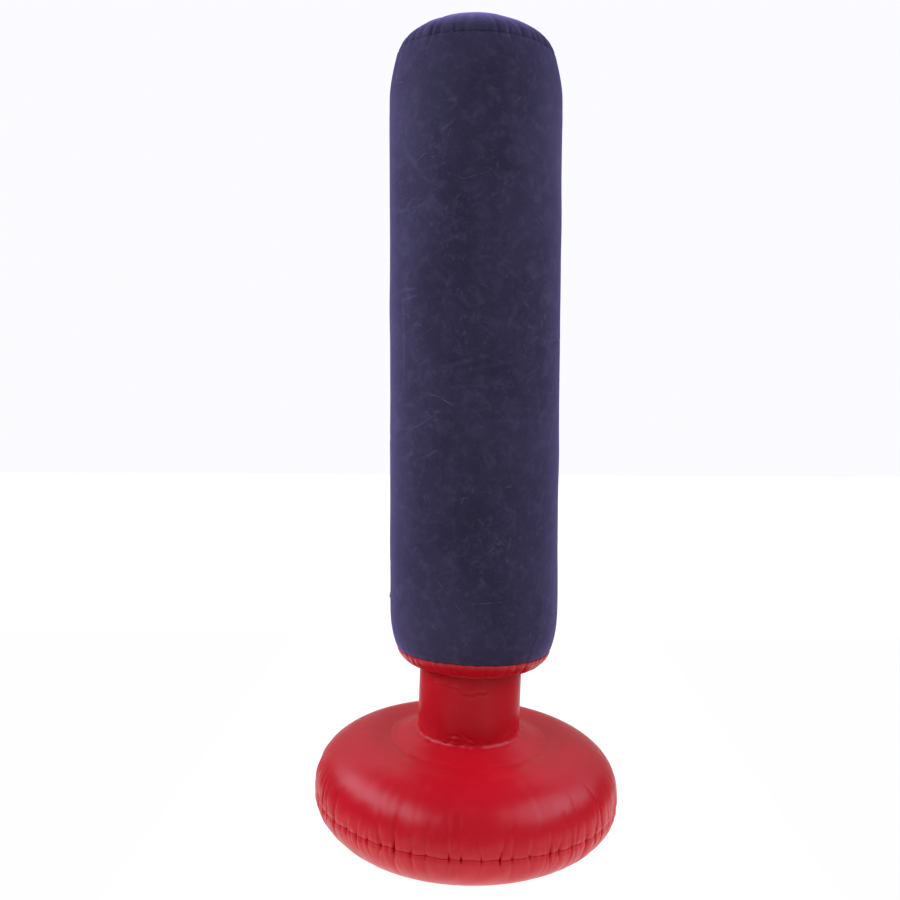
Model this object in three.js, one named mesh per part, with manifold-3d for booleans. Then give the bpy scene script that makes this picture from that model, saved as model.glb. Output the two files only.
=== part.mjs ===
// Inflatable free standing punching bag, in millimetres, +Z up, standing on z = 0.
//
// A flocked PVC column stands on a short red neck, over a round red base that holds the
// water ballast. Every wall is a thin welded sheet. Two welded sheets meet face to face
// along turned-in lips, with WELD_GAP between them.
//
// Front is -Y. An azimuth is measured from the front towards +X.

import * as THREE from 'three';
import { mergeVertices } from 'three/addons/utils/BufferGeometryUtils.js';
import Module from 'manifold-3d';

const wasm = await Module();
wasm.setup();

// ---- driving dimensions ----------------------------------------------------------

const HEIGHT = 1600;
const FLOCKED_SHEET = 0.8;
const PVC_SHEET = 0.5;
const WELD_GAP = 0.3;
const LIP = 6; // turned-in weld allowance

const COLUMN_RADIUS = 164.5;
const COLUMN_SEAM_RADIUS = 151;
const COLUMN_BOTTOM_SEAM_Z = 395;
const COLUMN_TOP_SEAM_Z = 1529;
const TOP_SHOULDER = 76; // height over which the wall rounds in to a seam
const TOP_SHOULDER_POWER = 1.6;
const BOTTOM_SHOULDER = 92;
const BOTTOM_SHOULDER_POWER = 3;
const BOTTOM_DOME_DEPTH = 48;
const DOME_POWER = 1.24;

const NECK_RADIUS = 100.5;
const NECK_COLLAR = 6; // upstand of each neck flange along the tube
const NECK_MARGIN = 10; // rim of the bottom panel inside the neck
const UPPER_FLANGE_RADIUS = 114;
const LOWER_FLANGE_RADIUS = 153;

const BASE_RADIUS = 299;
const BASE_EQUATOR_Z = 106.5;
const BASE_SEAM_Z = 102;
const BASE_TOP_Z = 220.6; // crown height before the tie tube pulls it down
const BASE_TOP_FLAT = 105;
const BASE_TOP_POWER = 2.6;
const BASE_REST_RADIUS = 87; // flat patch on the floor
const BASE_UNDER_POWER = 2.2;
const DISH_DEPTH = 17.6; // pull of the tie tube at the neck
const DISH_RADIUS = 215;
const NECK_RISE = 20; // the neck's weld draws the middle of the crown back up
const TIE_RADIUS = 84;
const BALLAST_LEVEL = 80;
const BALLAST_GAP = 4;

const FILLER_Y = 193; // behind the neck, on the crown of the base
const FILLER_BORE = 16;
const FILLER_COLLAR_RADIUS = 19;
const FILLER_COLLAR_TOP = 11;
const FILLER_COLLAR_FOOT = -1;
const FILLER_HOLE = 28; // opening in the base that the patch covers
const FILLER_PATCH_RADIUS = 36;
const CAP_RADIUS = 23;
const CAP_BOTTOM = 3;
const CAP_TOP = 15;
const CAP_LOBES = 18;

const VALVE_AZIMUTH = -112.5;
const VALVE_Z = 477;
const STEM_RADIUS = 7.5;
const STEM_BORE = 4.8;
const STEM_HEIGHT = 16;
const STEM_FOOT = -4;
const STEM_HOLE = 9;
const PLUG_HEAD_RADIUS = 8.2;
const VALVE_PATCH_RADIUS = 22;

const ROUND = 40; // facets around the chambers
const FINE = 24; // facets around a fitting

// ---- materials -------------------------------------------------------------------

const flocked = () => new THREE.MeshStandardMaterial({ color: 0x2e2a40, roughness: 0.95 });
const redPvc = () => new THREE.MeshStandardMaterial({ color: 0xb8101c, roughness: 0.35 });
const clearPvc = () => new THREE.MeshStandardMaterial({
  color: 0xdfe3e2, roughness: 0.2, transparent: true, opacity: 0.55,
});
const seal = () => new THREE.MeshStandardMaterial({ color: 0xe8e6e0, roughness: 0.6 });
const water = () => new THREE.MeshStandardMaterial({
  color: 0xa8c4d0, roughness: 0.05, transparent: true, opacity: 0.5,
});

// ---- outlines --------------------------------------------------------------------

// An outline is a list of (radius, height) points on the outside of a sheet. It runs from
// the top of the bag outwards and down, so the outside is always on its left.

const point = (r, z) => new THREE.Vector2(r, z);
const steps = (count) => Array.from({ length: count + 1 }, (_, i) => i / count);
const smooth = (t) => t * t * (3 - 2 * t);

// The outline moved along its own normals; a point on the axis stays on it.
function offset(outline, distance) {
  return outline.map((here, i) => {
    const before = outline[i - 1];
    const after = outline[i + 1];
    const normals = [[before, here], [here, after]]
      .filter(([a, b]) => a && b)
      .map(([a, b]) => point(a.y - b.y, b.x - a.x).normalize());
    const along = normals.reduce((sum, n) => sum.clone().add(n)).normalize();
    const moved = here.clone().addScaledVector(along, distance / along.dot(normals[0]));
    return point(here.x < 1e-6 ? 0 : moved.x, moved.y);
  });
}

// Height of a column dome above (or below) its seam at a given radius.
function domeHeight(radius, depth) {
  const share = Math.min(radius / COLUMN_SEAM_RADIUS, 1);
  return depth * Math.sqrt(1 - share * share) ** DOME_POWER;
}

function domeOutline(seamZ, depth, fromRadius) {
  const start = Math.asin(fromRadius / COLUMN_SEAM_RADIUS);
  return steps(5).map((t) => {
    const radius = COLUMN_SEAM_RADIUS * Math.sin(start + (Math.PI / 2 - start) * t);
    return point(radius, seamZ + Math.sign(depth) * domeHeight(radius, Math.abs(depth)));
  });
}

// The column wall between its seams, without lips.
function wallOutline() {
  const radiusAt = (t, power) => {
    return COLUMN_RADIUS - (COLUMN_RADIUS - COLUMN_SEAM_RADIUS) * (1 - t) ** power;
  };
  const upper = steps(5).map((t) => {
    return point(radiusAt(t, TOP_SHOULDER_POWER), COLUMN_TOP_SEAM_Z - TOP_SHOULDER * t);
  });
  const lower = steps(5).map((t) => {
    return point(radiusAt(t, BOTTOM_SHOULDER_POWER), COLUMN_BOTTOM_SEAM_Z + BOTTOM_SHOULDER * t);
  });
  return [...upper, ...lower.reverse()];
}

// The top of the base: a rounded crown, dished by the tie tube and drawn up under the neck.
function baseTopZ(radius) {
  const share = Math.max(radius - BASE_TOP_FLAT, 0) / (BASE_RADIUS - BASE_TOP_FLAT);
  const crown = (1 - Math.min(share, 1) ** BASE_TOP_POWER) ** (1 / BASE_TOP_POWER);
  const inward = (edge) => {
    return smooth(Math.min(Math.max((edge - radius) / (edge - BASE_TOP_FLAT), 0), 1));
  };
  const drawn = NECK_RISE * inward(LOWER_FLANGE_RADIUS) - DISH_DEPTH * inward(DISH_RADIUS);
  return BASE_EQUATOR_Z + (BASE_TOP_Z - BASE_EQUATOR_Z) * crown + drawn;
}

// Where the crown and the weld disc on it both have a bend, so that they stay apart.
const WELD_BENDS = [BASE_TOP_FLAT, 117, 130, 142, LOWER_FLANGE_RADIUS];

function baseUpperOutline() {
  const dish = [0, ...WELD_BENDS, 175];
  const crown = [198, 222, 244, 263, 278, 290, 296.5];
  return [
    ...[...dish, ...crown].map((r) => point(r, baseTopZ(r))),
    point(BASE_RADIUS, BASE_EQUATOR_Z),
    point(BASE_RADIUS, BASE_SEAM_Z + WELD_GAP / 2),
    point(BASE_RADIUS - LIP, BASE_SEAM_Z + WELD_GAP / 2),
  ];
}

function baseLowerOutline() {
  const bulge = steps(7).map((t) => {
    const turn = t * Math.PI / 2;
    const reach = (BASE_RADIUS - BASE_REST_RADIUS) * Math.cos(turn) ** (2 / BASE_UNDER_POWER);
    return point(
      BASE_REST_RADIUS + reach,
      BASE_EQUATOR_Z * (1 - Math.sin(turn) ** (2 / BASE_UNDER_POWER)),
    );
  }).filter((p) => p.y < BASE_SEAM_Z - LIP);
  const seam = BASE_SEAM_Z - WELD_GAP / 2;
  return [point(BASE_RADIUS - LIP, seam), point(BASE_RADIUS, seam), ...bulge, point(0, 0)];
}

// ---- solids ----------------------------------------------------------------------

// A closed ring or disc turned about Z from a closed section, facets starting at the front.
function turned(section, facets = ROUND) {
  const points = [...section];
  if (THREE.ShapeUtils.area(points) < 0) points.reverse();
  const onAxis = points.filter((p) => p.x === 0);
  const start = onAxis.length
    ? points.findIndex((p, i) => p.x === 0 && points.at(i - 1).x === 0)
    : 0;
  const ordered = [...points.slice(start), ...points.slice(0, start)];
  if (!onAxis.length) ordered.push(ordered[0].clone());
  const lathe = new THREE.LatheGeometry(ordered, facets);
  return lathe.rotateX(Math.PI / 2);
}

// The section of a sheet between two offsets from an outline.
const between = (outline, inner, outer) => [
  ...offset(outline, outer),
  ...offset(outline, inner).reverse(),
];

const sheet = (outline, thickness) => turned(between(outline, -thickness, 0));

const band = (inner, outer, bottom, top) => [
  point(inner, bottom), point(outer, bottom), point(outer, top), point(inner, top),
];

const ring = (inner, outer, bottom, top) => turned(band(inner, outer, bottom, top), FINE);

function rod(radius, bottom, top) {
  const cylinder = new THREE.CylinderGeometry(radius, radius, top - bottom, FINE);
  return cylinder.rotateX(Math.PI / 2).translate(0, 0, (top + bottom) / 2);
}

// ---- joining and cutting ---------------------------------------------------------

function toManifold(geometry) {
  const bare = geometry.clone();
  bare.deleteAttribute('normal');
  bare.deleteAttribute('uv');
  const merged = mergeVertices(bare, 1e-3);
  const corners = merged.index.array;
  const kept = [];
  for (let i = 0; i < corners.length; i += 3) {
    const [a, b, c] = corners.slice(i, i + 3);
    if (a !== b && b !== c && c !== a) kept.push(a, b, c);
  }
  return new wasm.Manifold(new wasm.Mesh({
    numProp: 3,
    vertProperties: merged.attributes.position.array,
    triVerts: Uint32Array.from(kept),
  }));
}

function fromManifold(solid) {
  const mesh = solid.getMesh();
  const geometry = new THREE.BufferGeometry();
  geometry.setAttribute('position', new THREE.BufferAttribute(mesh.vertProperties, 3));
  geometry.setIndex(new THREE.BufferAttribute(mesh.triVerts, 1));
  geometry.computeVertexNormals();
  return geometry;
}

const cut = (geometry, ...tools) => fromManifold(
  tools.reduce((solid, tool) => solid.subtract(toManifold(tool)), toManifold(geometry)),
);

const common = (a, b) => fromManifold(toManifold(a).intersect(toManifold(b)));

const joined = (first, ...others) => fromManifold(
  others.reduce((solid, other) => solid.add(toManifold(other)), toManifold(first)),
);

// ---- placing ---------------------------------------------------------------------

const bag = new THREE.Group();

function add(name, geometry, material, parent = bag) {
  const mesh = new THREE.Mesh(geometry, material);
  mesh.name = name;
  parent.add(mesh);
}

// A frame on the column wall, its +Z pointing straight out and its +Y up the wall.
function onColumnWall(azimuth, height) {
  const turn = THREE.MathUtils.degToRad(azimuth);
  const facetRadius = COLUMN_RADIUS * Math.cos(Math.PI / ROUND);
  const out = new THREE.Vector3(Math.sin(turn), -Math.cos(turn), 0);
  const up = new THREE.Vector3(0, 0, 1);
  const side = new THREE.Vector3().crossVectors(up, out);
  const frame = new THREE.Group();
  frame.quaternion.setFromRotationMatrix(new THREE.Matrix4().makeBasis(side, up, out));
  frame.position.copy(out.multiplyScalar(facetRadius)).setZ(height);
  frame.updateMatrix();
  bag.add(frame);
  return frame;
}

// ---- column ----------------------------------------------------------------------

const lipAt = (z) => point(COLUMN_SEAM_RADIUS - LIP, z);
const topLipZ = COLUMN_TOP_SEAM_Z + WELD_GAP;
const bottomLipZ = COLUMN_BOTTOM_SEAM_Z - WELD_GAP;
const wall = wallOutline();
const wallWithLips = [lipAt(COLUMN_TOP_SEAM_Z), ...wall, lipAt(COLUMN_BOTTOM_SEAM_Z)];
const bottomDome = domeOutline(bottomLipZ, -BOTTOM_DOME_DEPTH, NECK_RADIUS - NECK_MARGIN);

const valve = onColumnWall(VALVE_AZIMUTH, VALVE_Z);
const onWall = (geometry) => geometry.clone().applyMatrix4(valve.matrix);

function buildColumn() {
  const topDome = domeOutline(topLipZ, HEIGHT - topLipZ, 0);
  add('column_top_panel', sheet([...topDome, lipAt(topLipZ)], FLOCKED_SHEET), flocked());

  const stemHole = onWall(rod(STEM_HOLE, -STEM_HOLE, STEM_HOLE));
  add('column_side_panel', cut(sheet(wallWithLips, FLOCKED_SHEET), stemHole), flocked());

  // The free edge of the wrapped wall, welded over its other edge up the back.
  const lapWidth = 14;
  const overWall = turned(between(wall.slice(1, -1), WELD_GAP, WELD_GAP + FLOCKED_SHEET));
  const backStrip = new THREE.BoxGeometry(lapWidth, COLUMN_RADIUS, HEIGHT);
  backStrip.translate(0, COLUMN_RADIUS, HEIGHT / 2);
  add('column_lap_strip', common(overWall, backStrip), flocked());

  add(
    'column_bottom_panel',
    sheet([lipAt(bottomLipZ), ...[...bottomDome].reverse()], PVC_SHEET),
    redPvc(),
  );
}

// ---- neck ------------------------------------------------------------------------

const neckFoot = baseTopZ(0) + WELD_GAP;
const neckHeadAt = (r) => bottomLipZ - domeHeight(r, BOTTOM_DOME_DEPTH);

function buildNeck() {
  const tubeTop = neckHeadAt(NECK_RADIUS) - 2 * WELD_GAP;
  const tube = band(NECK_RADIUS - PVC_SHEET, NECK_RADIUS, neckFoot, tubeTop);
  add('neck_tube', turned(tube), redPvc());

  const collar = NECK_RADIUS + WELD_GAP + PVC_SHEET;
  const lower = [
    point(collar, neckFoot + NECK_COLLAR),
    ...[collar, ...WELD_BENDS].map((r) => {
      return point(r, baseTopZ(r) + WELD_GAP + PVC_SHEET);
    }),
  ];
  add('neck_lower_flange', turned(between(lower, -PVC_SHEET, 0)), redPvc());

  const upper = [UPPER_FLANGE_RADIUS, 107, collar].map((r) => {
    return point(r, neckHeadAt(r) - WELD_GAP - PVC_SHEET);
  });
  upper.push(point(collar, tubeTop - NECK_COLLAR));
  add('neck_upper_flange', turned(between(upper, -PVC_SHEET, 0)), redPvc());
}

// ---- base ------------------------------------------------------------------------

const baseUpper = baseUpperOutline();
const baseLower = baseLowerOutline();
const atFiller = (geometry) => geometry.translate(0, FILLER_Y, baseTopZ(FILLER_Y));
const fillerHole = () => atFiller(rod(FILLER_HOLE, -40, 40));

function buildBase() {
  add('base_upper_panel', cut(sheet(baseUpper, PVC_SHEET), fillerHole()), redPvc());
  add('base_lower_panel', sheet(baseLower, PVC_SHEET), redPvc());

  const foot = PVC_SHEET + WELD_GAP;
  const head = baseTopZ(0) - foot;
  const tie = [
    point(TIE_RADIUS - LIP, head), point(TIE_RADIUS, head),
    point(TIE_RADIUS, foot), point(TIE_RADIUS - LIP, foot),
  ];
  add('base_tie_tube', sheet(tie, PVC_SHEET), redPvc());

  const vessel = offset(baseLower.slice(2, -1), -PVC_SHEET - BALLAST_GAP);
  const wet = vessel.filter((p) => p.y < BALLAST_LEVEL);
  const core = TIE_RADIUS + BALLAST_GAP;
  add('water_ballast', turned([
    point(core, BALLAST_LEVEL), point(wet[0].x, BALLAST_LEVEL), ...wet,
    point(core, wet.at(-1).y),
  ]), water());
}

// ---- water filler ----------------------------------------------------------------

// A ring cut from a sheet that follows the top of the base at a given height off it.
function onCrown(inner, outer, low, high) {
  const cover = turned(between(baseUpper.slice(0, -3), low, high));
  return common(cover, atFiller(ring(inner, outer, -40, 40)));
}

function lobedOutline(radius, depth, lobes) {
  const shape = new THREE.Shape();
  const perLobe = 4;
  steps(lobes * perLobe).slice(0, -1).forEach((t, i) => {
    const turn = t * 2 * Math.PI;
    const reach = radius - depth * (i % perLobe === 0 ? 1 : 0);
    shape[i ? 'lineTo' : 'moveTo'](reach * Math.cos(turn), reach * Math.sin(turn));
  });
  return shape;
}

function buildFiller() {
  const patch = onCrown(
    FILLER_COLLAR_RADIUS + 0.6, FILLER_PATCH_RADIUS, WELD_GAP, WELD_GAP + PVC_SHEET,
  );
  add('base_filler_patch', patch, redPvc());

  const barrel = ring(
    FILLER_BORE, FILLER_COLLAR_RADIUS, FILLER_COLLAR_FOOT, FILLER_COLLAR_TOP,
  );
  const weldRing = onCrown(FILLER_COLLAR_RADIUS - 1, FILLER_HOLE - 1.5, -1, 0);
  add('filler_collar', joined(weldRing, atFiller(barrel)), clearPvc());

  const flap = rod(FILLER_BORE - 1, FILLER_COLLAR_FOOT - 1.3, FILLER_COLLAR_FOOT - WELD_GAP);
  add('filler_flap', atFiller(flap), clearPvc());

  const gasketTop = FILLER_COLLAR_TOP + WELD_GAP + 1.2;
  const gasket = ring(
    FILLER_BORE - 0.5, FILLER_COLLAR_RADIUS + 0.3, FILLER_COLLAR_TOP + WELD_GAP, gasketTop,
  );
  add('filler_gasket', atFiller(gasket), seal());

  const outside = new THREE.ExtrudeGeometry(
    lobedOutline(CAP_RADIUS, 0.9, CAP_LOBES),
    { depth: CAP_TOP - CAP_BOTTOM, bevelEnabled: false },
  ).translate(0, 0, CAP_BOTTOM);
  const inside = rod(FILLER_COLLAR_RADIUS + 0.8, 0, gasketTop + WELD_GAP);
  add('filler_cap', atFiller(cut(outside, inside)), clearPvc());

  // One moulded tether: a ring round the collar, a strap, and a ring round the cap.
  const loop = new THREE.Shape([
    point(-22, 1.2), point(-22, 2.2), point(-29, 2.2), point(-29, 10.8), point(-24.5, 10.8),
    point(-24.5, 11.8), point(-30, 11.8), point(-30, 1.2),
  ]);
  const strapWidth = 7;
  const strap = new THREE.ExtrudeGeometry(loop, { depth: strapWidth, bevelEnabled: false });
  strap.rotateX(Math.PI / 2).translate(0, strapWidth / 2, 0);
  const tether = joined(
    strap,
    ring(FILLER_COLLAR_RADIUS + 0.5, CAP_RADIUS, 1.2, 2.2),
    ring(CAP_RADIUS + 0.5, CAP_RADIUS + 2.3, 10.8, 11.8),
  );
  add('filler_tether', atFiller(tether), clearPvc());
}

// ---- column air valve ------------------------------------------------------------

function buildValve() {
  const under = -FLOCKED_SHEET - WELD_GAP;
  const lining = turned(between(wall.slice(1, -1), under - PVC_SHEET, under));
  const disc = onWall(ring(STEM_HOLE - 0.3, VALVE_PATCH_RADIUS, -8, 4));
  add('column_valve_patch', common(lining, disc), clearPvc());

  // The barrel, with the foot bead that stops it at the patch when it is pulled out.
  const stem = turned([
    point(STEM_BORE, STEM_FOOT), point(STEM_RADIUS + 2.6, STEM_FOOT),
    point(STEM_RADIUS + 2.6, STEM_FOOT + 1), point(STEM_RADIUS, STEM_FOOT + 1.4),
    point(STEM_RADIUS, STEM_HEIGHT), point(STEM_BORE, STEM_HEIGHT),
  ], FINE);
  add('column_valve_stem', stem, clearPvc(), valve);

  const flapTop = STEM_FOOT - WELD_GAP;
  add('column_valve_flap', rod(STEM_BORE + 1.4, flapTop - 0.6, flapTop), clearPvc(), valve);

  const headFoot = STEM_HEIGHT + WELD_GAP;
  const headTop = headFoot + 3;
  const plug = turned([
    point(0, -2), point(STEM_BORE - 1, -2), point(STEM_BORE - 0.4, 0),
    point(STEM_BORE - 0.4, headFoot), point(PLUG_HEAD_RADIUS, headFoot),
    point(PLUG_HEAD_RADIUS, headFoot + 2), point(PLUG_HEAD_RADIUS - 1, headTop),
    point(0, headTop),
  ], FINE);
  add('column_valve_plug', plug, clearPvc(), valve);

  const near = STEM_RADIUS + 0.4;
  const far = 14;
  const strapSide = new THREE.Shape([
    point(near, STEM_HEIGHT - 2.4), point(far, STEM_HEIGHT - 2.4), point(far, headTop - 1),
    point(PLUG_HEAD_RADIUS + 0.4, headTop - 1), point(PLUG_HEAD_RADIUS + 0.4, headTop - 1.9),
    point(far - 0.9, headTop - 1.9), point(far - 0.9, STEM_HEIGHT - 1.5),
    point(near, STEM_HEIGHT - 1.5),
  ]);
  const strapWidth = 5;
  const strap = new THREE.ExtrudeGeometry(
    strapSide, { depth: strapWidth, bevelEnabled: false },
  );
  // The strap's side view is drawn outwards and up; turned so that it runs up the wall.
  strap.translate(0, 0, -strapWidth / 2).applyMatrix4(new THREE.Matrix4().set(
    0, 0, 1, 0,
    1, 0, 0, 0,
    0, 1, 0, 0,
    0, 0, 0, 1,
  ));
  add('column_valve_strap', strap, clearPvc(), valve);
}

buildBase();
buildNeck();
buildColumn();
buildFiller();
buildValve();

export default bag;
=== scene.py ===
"""The looks of an inflatable free standing bag: a flocked column, a red neck and a red base.

Every chamber wall is a thin closed sheet turned about Z, with its pleats, creases and welds
in the mesh. An azimuth is an angle in radians from the front (-Y) towards +X. A relief is a
pair of arrays, rows by columns: how far the sheet moves outwards and how far along its path.
"""

import math

import bmesh
import bpy
import numpy as np
from mathutils import Matrix, Vector


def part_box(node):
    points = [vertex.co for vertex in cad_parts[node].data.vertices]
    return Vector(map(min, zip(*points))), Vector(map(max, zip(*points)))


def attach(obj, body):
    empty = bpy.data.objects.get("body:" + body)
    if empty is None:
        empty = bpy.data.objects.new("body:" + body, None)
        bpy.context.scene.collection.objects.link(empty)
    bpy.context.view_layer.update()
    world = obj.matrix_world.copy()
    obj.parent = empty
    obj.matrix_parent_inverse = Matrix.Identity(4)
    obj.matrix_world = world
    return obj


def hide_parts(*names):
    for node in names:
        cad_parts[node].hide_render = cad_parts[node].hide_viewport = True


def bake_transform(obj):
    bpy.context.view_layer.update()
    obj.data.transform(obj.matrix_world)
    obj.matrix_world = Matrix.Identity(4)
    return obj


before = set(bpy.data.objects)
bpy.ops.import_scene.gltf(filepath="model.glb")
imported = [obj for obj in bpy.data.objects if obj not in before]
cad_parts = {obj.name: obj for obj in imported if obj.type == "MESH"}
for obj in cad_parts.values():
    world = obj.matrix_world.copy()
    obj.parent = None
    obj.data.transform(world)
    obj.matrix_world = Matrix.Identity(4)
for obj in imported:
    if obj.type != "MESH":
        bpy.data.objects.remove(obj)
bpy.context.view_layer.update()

TURN = 2 * math.pi

# ---- sizes, in metres ----


def reach(node):
    """How far a CAD node reaches from the axis of the bag."""
    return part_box(node)[1].x


def heights(node):
    low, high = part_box(node)
    return low.z, high.z


COLUMN_R = reach("column_side_panel")
SEAM_R = reach("column_top_panel")
BOTTOM_SEAM_Z, TOP_SEAM_Z = heights("column_side_panel")
TOP_Z = heights("column_top_panel")[1]
TOP_SHOULDER, TOP_SHOULDER_POWER = 0.076, 1.6
BOTTOM_SHOULDER, BOTTOM_SHOULDER_POWER = 0.092, 3.0
BOTTOM_DOME = 0.048
DOME_POWER = 1.24
DOME_OPENING = 0.0905

NECK_R = reach("neck_tube")
NECK_FOOT, NECK_HEAD = heights("neck_tube")
NECK_MIDDLE = (NECK_FOOT + NECK_HEAD) / 2
DISC_R = reach("neck_lower_flange")
COLLAR_R = reach("neck_upper_flange")

BASE_R = reach("base_upper_panel")
BASE_SEAM_Z = 0.102
EQUATOR_Z = 0.1065
CROWN_Z, CROWN_FLAT, CROWN_POWER = 0.2206, 0.105, 2.6
UNDER_FLAT, UNDER_POWER = 0.091, 2.2
DISH_DEPTH, DISH_R = 0.0176, 0.215
NECK_RISE = 0.020

FILLER = Vector((0.0, 0.193, 0.2127))
SHEET = 0.0012  # thickness of a chamber's wall
CORNER_R = 0.0004  # bend of a wall into its weld lip
LIP = 0.006  # width of a weld lip
GAP = 0.0003  # between the two lips of a weld
ON_AXIS = 1e-5

BASE_TILT = 0.0398  # the base sits crooked under the column, its right side low
TILT_PIVOT_Z = 0.445
CROWN_NOD = 0.05  # the weld disc also nods towards the front
COLUMN_SHIFT = 0.0008  # the column stands a little to the right

PLEATS = 62
TOP_PLEATS = 44
BOTTOM_PLEATS = 44

# ---- small maths ----


def smooth(x, low, high):
    t = np.clip((np.asarray(x, float) - low) / (high - low), 0, 1)
    return t * t * (3 - 2 * t)


def bell(x, width):
    return np.exp(-((x / width) ** 2))


def wrap(angle):
    return (angle + math.pi) % TURN - math.pi


def crown_z(r):
    """Height of the base's top: dished by the tie tube, and drawn up under the neck."""
    share = np.clip((r - CROWN_FLAT) / (BASE_R - CROWN_FLAT), 0, 1)
    crown = (1 - share**CROWN_POWER) ** (1 / CROWN_POWER)
    drawn = NECK_RISE * smooth(DISC_R - r, 0, DISC_R - CROWN_FLAT)
    dish = DISH_DEPTH * smooth(DISH_R - r, 0, DISH_R - CROWN_FLAT)
    return EQUATOR_Z + (CROWN_Z - EQUATOR_Z) * crown + drawn - dish


def dome_rise(r, depth):
    share = np.clip(r / SEAM_R, 0, 1)
    return depth * np.sqrt(1 - share**2) ** DOME_POWER


def ripple(angle, seed, low, high):
    """A smooth random wave around a ring, about -1 to 1, from low to high waves a turn."""
    rng = np.random.default_rng(seed)
    total = np.zeros_like(np.asarray(angle, float))
    count = 7
    for _ in range(count):
        waves = rng.integers(low, high + 1)
        total = total + rng.uniform(0.4, 1) * np.sin(waves * angle + rng.uniform(0, TURN))
    return total / math.sqrt(count)


# ---- outlines: points (r, z) from the top of the bag outwards and down ----


def floats(points):
    return np.array(points, float)


def slab(inner, outer, low, high):
    """The corners of a flat ring's section, or of a disc's where inner is 0."""
    return [(inner, high), (outer, high), (outer, low), (inner, low)]


def crown_outline():
    r = np.linspace(0, CROWN_FLAT, 12)
    top = np.stack([r, crown_z(r)], axis=-1)
    turn = np.linspace(0, math.pi / 2, 160)[1:]
    r = CROWN_FLAT + (BASE_R - CROWN_FLAT) * np.sin(turn) ** (2 / CROWN_POWER)
    z = crown_z(r)
    side = np.stack([r, z], axis=-1)
    seam = [[under_r(BASE_SEAM_Z), BASE_SEAM_Z + GAP / 2]]
    return np.vstack([top, side[z > BASE_SEAM_Z + 0.002], seam])


def under_r(z):
    fall = np.clip(1 - z / EQUATOR_Z, 0, 1)
    return UNDER_FLAT + (BASE_R - UNDER_FLAT) * (1 - fall**UNDER_POWER) ** (1 / UNDER_POWER)


def under_outline():
    turn = np.linspace(0, math.pi / 2, 200)
    r = UNDER_FLAT + (BASE_R - UNDER_FLAT) * np.cos(turn) ** (2 / UNDER_POWER)
    z = EQUATOR_Z * (1 - np.sin(turn) ** (2 / UNDER_POWER))
    below = z < BASE_SEAM_Z - GAP / 2 - 0.001
    side = np.stack([r[below], z[below]], axis=-1)
    seam = [[under_r(BASE_SEAM_Z - GAP / 2), BASE_SEAM_Z - GAP / 2]]
    floor = [[UNDER_FLAT * t, 0.0] for t in (0.75, 0.5, 0.25, 0.0)]
    return np.vstack([seam, side, floor])


def wall_outline():
    z = np.linspace(TOP_SEAM_Z, BOTTOM_SEAM_Z, 1200)
    rise = np.clip((TOP_SEAM_Z - z) / TOP_SHOULDER, 0, 1)
    fall = np.clip((z - BOTTOM_SEAM_Z) / BOTTOM_SHOULDER, 0, 1)
    pull = (1 - rise) ** TOP_SHOULDER_POWER + (1 - fall) ** BOTTOM_SHOULDER_POWER
    return np.stack([COLUMN_R - (COLUMN_R - SEAM_R) * pull, z], axis=-1)


def top_outline():
    turn = np.linspace(0, math.pi / 2, 160)
    r = SEAM_R * np.sin(turn)
    depth = TOP_Z - TOP_SEAM_Z - GAP
    return np.stack([r, TOP_SEAM_Z + GAP + dome_rise(r, depth)], axis=-1)


def bottom_outline():
    r = np.linspace(SEAM_R, DOME_OPENING, 120)
    return np.stack([r, BOTTOM_SEAM_Z - GAP - dome_rise(r, BOTTOM_DOME)], axis=-1)


def turned_in(path, at_end):
    """The path with a weld lip turned in towards the axis at its last or first point."""
    points = path if at_end else path[::-1]
    corner = points[-1]
    away = np.hypot(*(points - corner).T)
    before = points[away > 2 * CORNER_R][-1]
    back = (before - corner) / np.hypot(*(before - corner))
    inward = floats([-1, 0])
    t = np.linspace(0, 1, 7)[:, None]
    start, stop = corner + back * CORNER_R, corner + inward * CORNER_R
    bend = (1 - t) ** 2 * start + 2 * t * (1 - t) * corner + t**2 * stop
    made = np.vstack([points[away > CORNER_R], bend, [corner + inward * LIP]])
    return made if at_end else made[::-1]


def spread(path, spacing):
    """Rows along a path, spacing(s) apart: their r, z, s and outward normals."""
    along = np.r_[0, np.cumsum(np.hypot(*np.diff(path, axis=0).T))]
    fine = np.linspace(0, along[-1], 6000)
    step = fine[1] - fine[0]
    density = np.r_[0, np.cumsum(step / spacing(fine[1:]))]
    s = np.interp(np.linspace(0, density[-1], int(density[-1]) + 2), density, fine)
    r, z = np.interp(s, along, path[:, 0]), np.interp(s, along, path[:, 1])
    dr, dz = np.gradient(r, s), np.gradient(z, s)
    size = np.hypot(dr, dz)
    return r, z, s, -dz / size, dr / size


def even(step):
    """The same spacing all along a path."""
    return lambda s: step + 0 * s


def length_of(path):
    return np.hypot(*np.diff(path, axis=0).T).sum()


def base_seam(path):
    """How far along a path its nearest point to the base's seam lies."""
    along = np.r_[0, np.cumsum(np.hypot(*np.diff(path, axis=0).T))]
    corner = floats([under_r(BASE_SEAM_Z), BASE_SEAM_Z])
    return along[np.argmin(np.hypot(*(path - corner).T))]


# ---- meshes ----


def in_scene(name, data):
    obj = bpy.data.objects.new(name, data)
    bpy.context.scene.collection.objects.link(obj)
    return obj


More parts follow.
